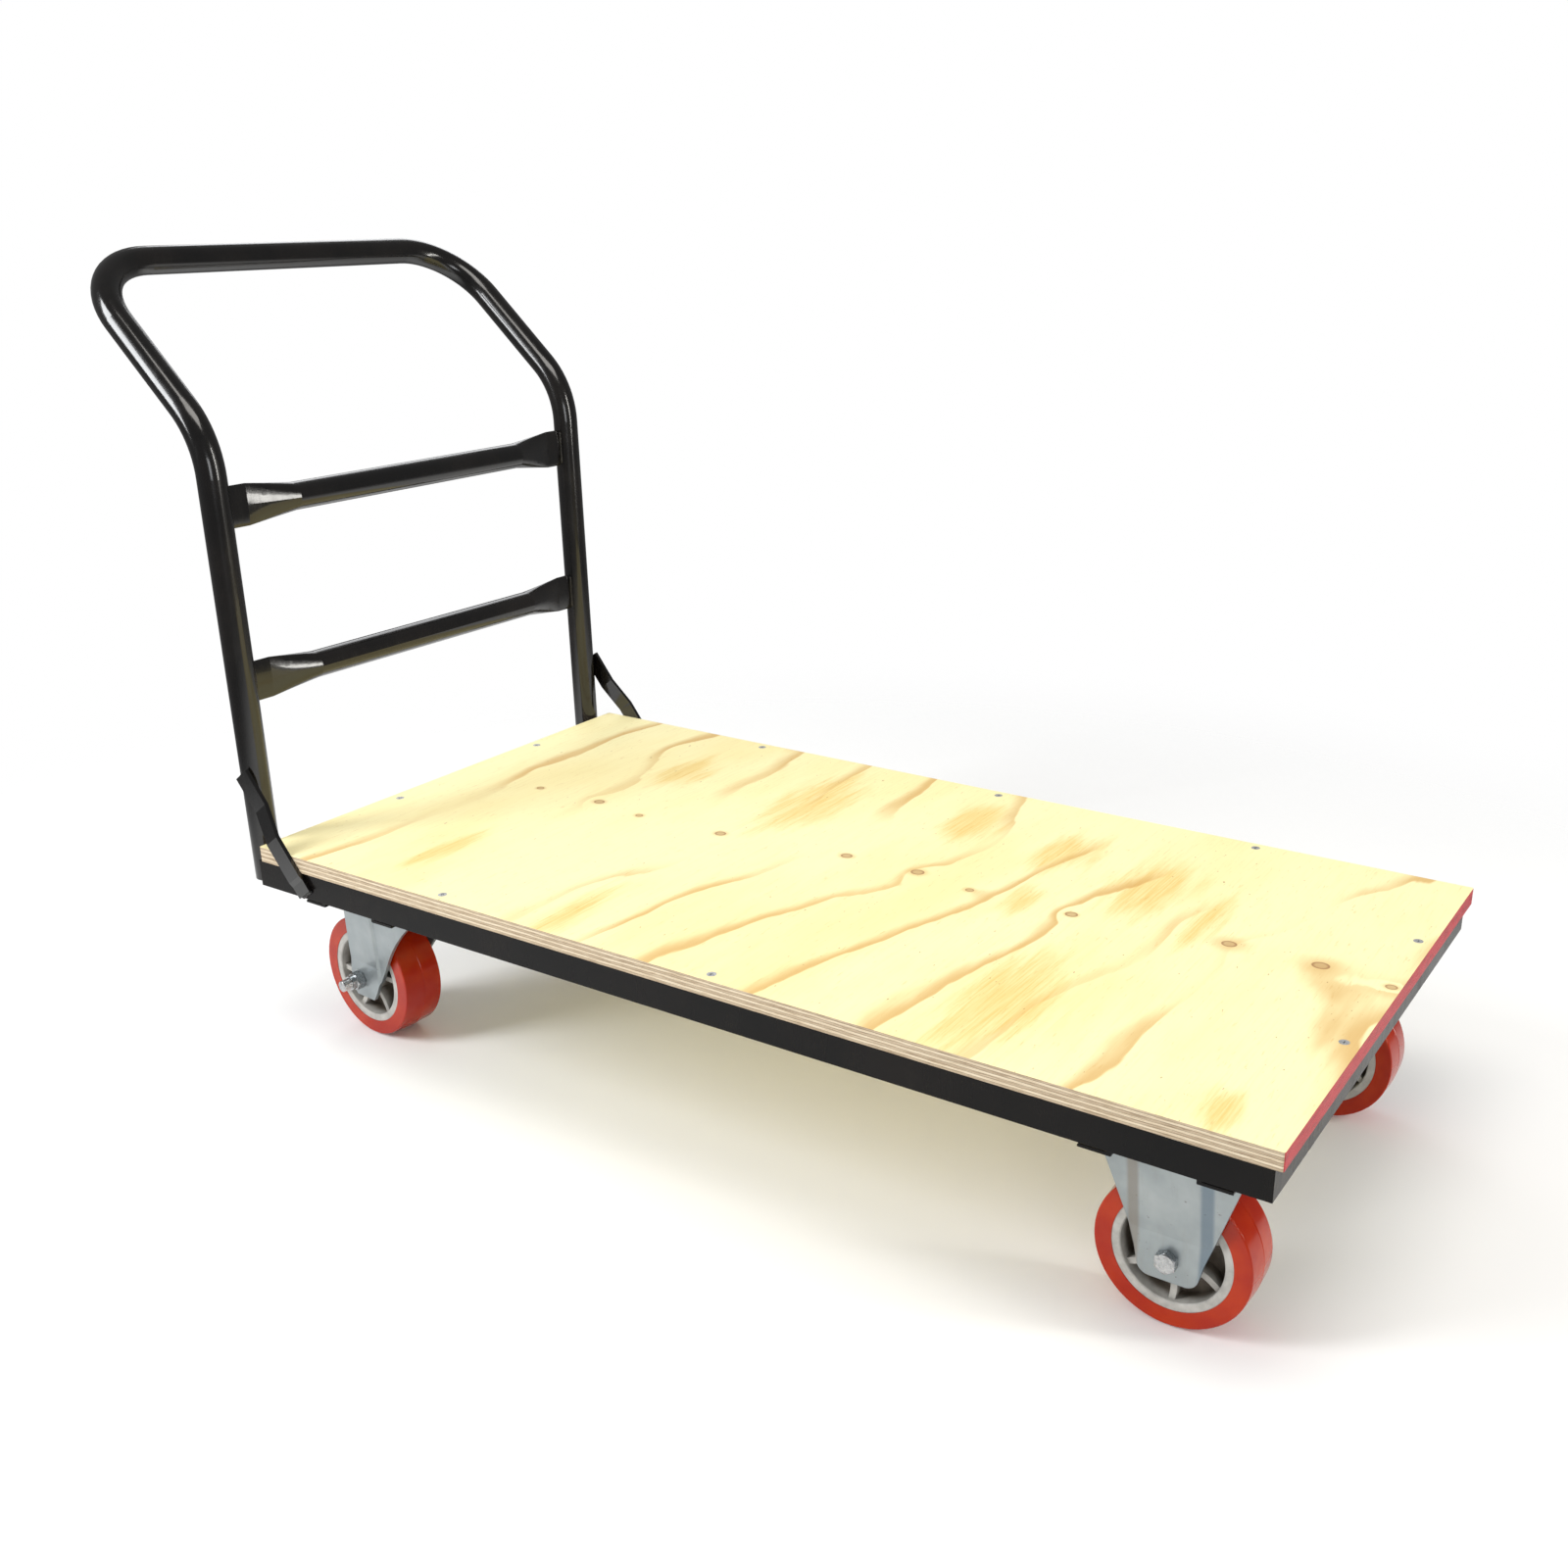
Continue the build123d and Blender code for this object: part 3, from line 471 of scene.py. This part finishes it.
def moulded_core(wheel):
    """Grey-beige plastic, with painted shade, mottled dark brown, deep in the pockets between the
    ribs.
    """
    finish = Finish("core_grey_" + wheel, Specular_IOR_Level=0.4)
    spin = SPINS[wheel]
    low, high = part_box(wheel.replace("_wheel_", "_wheel_core_"))
    half = (high - low).y / 2
    offset = finish.add("ShaderNodeVectorMath", operation="SUBTRACT")
    finish.plug(offset.inputs[0], finish.place)
    finish.plug(offset.inputs[1], spin["pos_m"])
    sideways = finish.add("ShaderNodeVectorMath", operation="DOT_PRODUCT")
    finish.plug(sideways.inputs[0], offset.outputs["Vector"])
    finish.plug(sideways.inputs[1], spin["axis"])
    depth = finish.math("ABSOLUTE", sideways.outputs["Value"])
    dust = finish.noise(65.0, 4.0, 0.65)
    face = finish.ramp(dust, (0.3, (0.32, 0.31, 0.285)), (0.55, (0.45, 0.435, 0.40)),
                       (0.8, (0.54, 0.525, 0.49)))
    # painted shade: near the wheel's middle plane, deep in the pockets, the core turns mottled
    # dark brown
    pocket_shade = finish.mix(finish.fade(dust, 0.35, 0.75), POCKET_SHADE_DARK, POCKET_SHADE_LIGHT)
    color = finish.mix(finish.fade(depth, 0.3 * half, 0.72 * half), pocket_shade, face)
    rough = finish.fade(dust, 0.3, 0.8, 0.4, 0.6)
    normal = finish.bump(finish.noise(500.0, 2.0, 0.5), 0.12, 0.0003, finish.rounded(0.0008))
    return finish.done(color, rough, normal)


def weld_metal(name, color, metallic, roughness):
    """Weld bead, darkened in patches by the heat, under thin paint or plating."""
    finish = Finish(name, Metallic=metallic, Specular_IOR_Level=0.45)
    tint = finish.noise(150.0, 3.0, 0.6)
    dark = tuple(0.35 * part for part in color)
    shade = finish.mix(finish.fade(tint, 0.35, 0.7), dark, color)
    normal = finish.bump(finish.noise(700.0, 2.0, 0.5), 0.2, 0.0003)
    return finish.done(shade, finish.fade(tint, 0.3, 0.8, roughness, roughness + 0.2), normal)


def finish_nodes():
    """Each carried-over CAD node takes the finish of the first word found in its name."""
    sheet = zinc_sheet("zinc_sheet", False)
    bolts = bright_zinc("bolt_zinc", (0.47, 0.48, 0.49), 0.2)
    steel = bearing_steel()
    frame_paint = black_paint("frame_black", 0.1, 0.2, 0.08, 0.0009)
    rules = {
        "deck_board": plywood(),
        "deck_screws": bright_zinc("screw_zinc", (0.50, 0.51, 0.52), 0.35, 0.4),
        "frame_": frame_paint,
        "cross_": frame_paint,
        "handle_": black_paint("handle_black", 0.5, 0.14, 0.05, None),
    }
    for wheel in SPINS:
        rules[wheel.replace("_wheel_", "_wheel_core_")] = moulded_core(wheel)
    rules["wheel_tread"] = urethane()
    rules.update(dict.fromkeys(("rollers", "balls", "sleeve"), steel))
    rules.update(dict.fromkeys(("bolt", "nut", "washers", "kingpin"), bolts))
    # the rigid forks' zinc has painted shade and reflections on its pressed steps
    rules["rigid_fork"] = zinc_sheet("zinc_with_step_shade", True)
    rules.update(dict.fromkeys(("fork", "top_plate", "race_ring"), sheet))
    for name, node in nodes.items():
        material = next(finish for word, finish in rules.items() if word in name)
        for place in node.material_slots:
            place.material = material


# ---- Weld beads and threads

BEAD_SIDES = 10
BEAD_STEP = 0.0009
BEAD_BLUNT = 0.0012
RIPPLE_PITCH = 0.0042


def spaced(points, step):
    """Points at even steps along a polyline."""
    line = []
    for start, end in zip(points, points[1:]):
        count = max(1, round((end - start).length / step))
        line += [start.lerp(end, index / count) for index in range(count)]
    return line + [points[-1]]


def skin(name, rings):
    """Closed tube mesh through rings of points, capped at both ends."""
    sides = len(rings[0])
    faces = []
    for row in range(len(rings) - 1):
        for side in range(sides):
            after = (side + 1) % sides
            faces.append((row * sides + side, row * sides + after,
                          (row + 1) * sides + after, (row + 1) * sides + side))
    last = (len(rings) - 1) * sides
    faces.append(tuple(reversed(range(sides))))
    faces.append(tuple(range(last, last + sides)))
    mesh = bpy.data.meshes.new(name)
    mesh.from_pydata([point for ring in rings for point in ring], [], faces)
    mesh.polygons.foreach_set("use_smooth", [True] * len(faces))
    piece = bpy.data.objects.new(name, mesh)
    bpy.context.scene.collection.objects.link(piece)
    return piece


def ring_round(centre, along, radius_at):
    """Ring of points square to a direction; radius_at gives the radius at each angle."""
    side = along.orthogonal().normalized()
    other = along.cross(side)
    ring = []
    for index in range(BEAD_SIDES):
        angle = 2 * math.pi * index / BEAD_SIDES
        ring.append(centre + (side * math.cos(angle) + other * math.sin(angle)) * radius_at(angle))
    return ring


def bead(name, points, radius, material):
    """Hand-laid weld: a rippled, slightly uneven half-buried rope along a joint."""
    line = spaced([Vector(point) for point in points], BEAD_STEP)
    rings = []
    walked = 0.0
    for index, centre in enumerate(line):
        before = line[max(index - 1, 0)]
        after = line[min(index + 1, len(line) - 1)]
        walked += (centre - before).length
        left = (line[-1] - centre).length
        taper = min(1.0, (min(walked, left) + BEAD_BLUNT) / (1.2 * radius))
        scallop = abs(math.sin(math.pi * walked / RIPPLE_PITCH)) ** 0.7
        uneven = noise.noise(centre * 170.0)
        size = radius * math.sqrt(max(taper, 0.05)) * (0.80 + 0.2 * scallop + 0.14 * uneven)
        drift = noise.noise_vector(centre * 90.0) * (0.16 * radius)
        along = (after - before).normalized()
        rings.append(ring_round(centre + drift, along, lambda angle: size))
    piece = skin(name, rings)
    piece.data.materials.append(material)
    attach(piece, "truck")


def mirrored(name, points, radius, material):
    """The same bead on both sides of the truck."""
    for side_name, side in SIDES.items():
        bead(name + "_" + side_name, [(x, side * y, z) for x, y, z in points], radius,
             material)


# half the height of a cross bar's flattened end, and how far off its middle the beads lie
BAR_EDGE = 0.0205
BAR_FACE = 0.0026
BRACE_WIDTH = 0.023
BRACE_SLOPE = math.radians(53.35)
# how far the beads at an upright's foot lie off its middle, and the corner beads off the corners
UPRIGHT_FACE = 0.0072
CORNER_INSET = 0.0035
# the heights between which the beads on the frame run
UPRIGHT_SPAN = (FRAME_BOTTOM + 0.002, FRAME_TOP - 0.001)
CORNER_SPAN = (FRAME_BOTTOM + 0.001, FRAME_TOP - 0.005)
# distances from the outer end of a cross member between which its bead runs
CROSS_SPAN = (0.021, 0.002)
# radii of the beads
BAR_WELD = 0.0021
BRACE_WELD = 0.0026
BRACE_BACK_WELD = 0.0024
UPRIGHT_WELD = 0.0028
CORNER_WELD = 0.003
CROSS_WELD = 0.0026
FORK_WELD = 0.0027
# how far the middles of the beads stand off the faces behind them
BAR_LIFT = 0.0002
FOOT_LIFT = 0.0005
SEAM_LIFT = 0.0012


def handle_welds(painted):
    """Cross-bar ends, braces and the uprights' feet."""
    face_y = UPRIGHT_Y - TUBE_R + BAR_LIFT
    for bar in ("upper", "lower"):
        low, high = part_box("handle_bar_" + bar)
        middle = (low.z + high.z) / 2
        for place, ahead in (("front", BAR_FACE), ("back", -BAR_FACE)):
            x = UPRIGHT_X + ahead
            mirrored("weld_bar_" + bar + "_" + place,
                     [(x, face_y, middle - BAR_EDGE), (x, face_y, middle + BAR_EDGE)],
                     BAR_WELD, painted)
    down = Vector((math.cos(BRACE_SLOPE), 0, -math.sin(BRACE_SLOPE)))
    across = Vector((-math.sin(BRACE_SLOPE), 0, -math.cos(BRACE_SLOPE)))
    top = Vector((brace_low.x, 0, brace_high.z)) - Vector((across.x, 0, 0)) * BRACE_WIDTH
    tip = Vector((brace_high.x, 0, brace_low.z)) - Vector((0, 0, across.z)) * BRACE_WIDTH

    def on_tube(point):
        """The point carried sideways onto the outside of the upright."""
        ahead = point.x - UPRIGHT_X
        return (point.x, UPRIGHT_Y + math.sqrt(TUBE_R ** 2 - ahead ** 2), point.z)

    ends = [top + across * (BRACE_WIDTH * part) for part in (0.25, 0.5, 0.75, 0.95)]
    mirrored("weld_brace_top", [on_tube(point) for point in ends], BRACE_WELD, painted)
    edge = [top + across * BRACE_WIDTH + down * length for length in (0.002, 0.009, 0.016)]
    mirrored("weld_brace_back", [on_tube(point) for point in edge], BRACE_BACK_WELD, painted)
    rail_y = FRAME_SIDE + FOOT_LIFT
    foot = [tip + across * (BRACE_WIDTH * part) for part in (0.05, 0.95)]
    mirrored("weld_brace_foot", [(point.x, rail_y, point.z) for point in foot], BRACE_WELD,
             painted)
    x = FRAME_REAR - SEAM_LIFT
    for place, offset in (("inner", -UPRIGHT_FACE), ("outer", UPRIGHT_FACE)):
        mirrored("weld_upright_" + place, [(x, UPRIGHT_Y + offset, z) for z in UPRIGHT_SPAN],
                 UPRIGHT_WELD, painted)


def frame_welds(painted):
    """Mitred corners inside the frame and the cross members under its shelf."""
    inside_y = FRAME_SIDE - CORNER_INSET
    for end, x in (("rear", FRAME_REAR + CORNER_INSET), ("front", FRAME_FRONT - CORNER_INSET)):
        mirrored("weld_corner_" + end, [(x, inside_y, z) for z in CORNER_SPAN], CORNER_WELD,
                 painted)
    for end in ("front", "rear"):
        boxes = [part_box("cross_member_" + end + "_" + place) for place in ("inner", "outer")]
        middle = sum(low.x + high.x for low, high in boxes) / 4
        for place, (low, high) in zip(("inner", "outer"), boxes):
            heel = min((low.x, high.x), key=lambda x: abs(x - middle))
            x = heel + (SEAM_LIFT if heel < middle else -SEAM_LIFT)
            z = high.z - SEAM_LIFT
            mirrored("weld_cross_" + end + "_" + place,
                     [(x, high.y - inset, z) for inset in CROSS_SPAN],
                     CROSS_WELD, painted)


FORK_PLATE = 0.00635
# how far each way from the axle a fillet runs, in steps of a few millimetres
FORK_STEP = 0.004
FORK_STEPS = 16
# where the rays that look for a fork's leg start, beside the wheel and below the plate, how
# far they go, and how far the bead is raised from there toward the plate
RAY_START = 0.2
RAY_DROP = 0.002
RAY_LENGTH = 0.19
FILLET_RISE = 0.0012


def fork_welds(plated):
    """Fillets between the rigid forks' pressed legs and their plates, found by rays."""
    plate_under = fork_high.z - FORK_PLATE
    for side_name, side in SIDES.items():
        fork = nodes["rigid_fork_" + side_name]
        wheel = Vector(SPINS["rigid_wheel_" + side_name]["pos_m"])
        for face, outward in (("outer", side), ("inner", -side)):
            points = []
            for step in range(-FORK_STEPS, FORK_STEPS + 1):
                x = wheel.x + FORK_STEP * step
                start = Vector((x, wheel.y + outward * RAY_START, plate_under - RAY_DROP))
                inward = Vector((0, -outward, 0))
                hit, place, _, _ = fork.ray_cast(start, inward, distance=RAY_LENGTH)
                if hit:
                    points.append(place + Vector((0, 0, FILLET_RISE)))
            bead("weld_fork_" + face + "_" + side_name, points, FORK_WELD, plated)


SHANK_RADIUS = 0.00635
THREAD_LENGTH = 0.0105
THREAD_PITCH = 0.00195
THREAD_DEPTH = 0.0006
THREAD_PROUD = 0.0001
RINGS_PER_TURN = 8


def thread(name, body, bolt, direction, material):
    """Rolled thread on the free end of an axle bolt, a hair proud of its plain shank."""
    spin = SPINS[bolt.replace("_axle_bolt_", "_wheel_")]
    axis = Vector(spin["axis"]) * direction
    centre = Vector(spin["pos_m"])
    reach = max((vertex.co - centre).dot(axis) for vertex in nodes[bolt].data.vertices)
    rings = []
    count = round(THREAD_LENGTH / (THREAD_PITCH / RINGS_PER_TURN))
    for index in range(count + 1):
        along = reach - THREAD_LENGTH + index * THREAD_PITCH / RINGS_PER_TURN

        def radius_at(angle):
            turn = (along / THREAD_PITCH + angle / (2 * math.pi)) % 1.0
            return SHANK_RADIUS + THREAD_PROUD + THREAD_DEPTH * (1 - abs(2 * turn - 1))

        rings.append(ring_round(centre + axis * along, axis, radius_at))
    piece = skin(name, rings)
    piece.data.materials.append(material)
    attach(piece, body)


def add_welds_and_threads():
    """The weld beads and bolt threads that the CAD model leaves out."""
    painted = weld_metal("weld_painted", (0.035, 0.032, 0.03), 0.35, 0.26)
    plated = weld_metal("weld_plated", (0.50, 0.53, 0.55), 0.8, 0.36)
    cut_thread = bright_zinc("thread_zinc", (0.66, 0.66, 0.65), 0.24)
    handle_welds(painted)
    frame_welds(painted)
    fork_welds(plated)
    for side_name, side in SIDES.items():
        thread("thread_rigid_" + side_name, "truck", "rigid_axle_bolt_" + side_name, -side,
               cut_thread)
        thread("thread_swivel_" + side_name, "swivel_fork_" + side_name,
               "swivel_axle_bolt_" + side_name, -1, cut_thread)


# ---- Stage

def make_stage():
    """Pale floor that thins out into an even white surround."""
    mesh = bpy.data.meshes.new("floor")
    corners = [(x * FLOOR_HALF, y * FLOOR_HALF, 0)
               for x, y in ((-1, -1), (1, -1), (1, 1), (-1, 1))]
    mesh.from_pydata(corners, [], [(0, 1, 2, 3)])
    floor = bpy.data.objects.new("floor", mesh)
    bpy.context.scene.collection.objects.link(floor)
    finish = Finish("floor_pale", Specular_IOR_Level=0.05)
    away = finish.add("ShaderNodeVectorMath", operation="LENGTH")
    finish.plug(away.inputs[0], finish.place)
    finish.plug(finish.shader.inputs["Alpha"],
                finish.fade(away.outputs["Value"], *FLOOR_FADE, 1.0, 0.0))
    tone = finish.mix(finish.noise(2.0, 2.0, 0.5), FLOOR_COLOR, FLOOR_GREY)
    mesh.materials.append(finish.done(tone, 0.8, None))


def make_surround():
    """White behind the truck, weaker as a light on it and weaker still in reflections."""
    world = bpy.data.worlds.new("surround")
    world.use_nodes = True
    tree = world.node_tree
    background = tree.nodes["Background"]
    background.inputs["Color"].default_value = (1, 1, 1, 1)
    ray = tree.nodes.new("ShaderNodeLightPath").outputs
    strength = SKY_LIGHT
    for kind, level in (("Is Glossy Ray", SKY_MIRRORED), ("Is Camera Ray", SKY_SEEN)):
        step = tree.nodes.new("ShaderNodeMapRange")
        tree.links.new(ray[kind], step.inputs["Value"])
        if isinstance(strength, bpy.types.NodeSocket):
            tree.links.new(strength, step.inputs["To Min"])
        else:
            step.inputs["To Min"].default_value = strength
        step.inputs["To Max"].default_value = level
        strength = step.outputs[0]
    tree.links.new(strength, background.inputs["Strength"])
    bpy.context.scene.world = world
    bpy.context.scene.view_settings.view_transform = "Standard"


make_camera()
make_lights()
finish_nodes()
add_welds_and_threads()
make_stage()
make_surround()
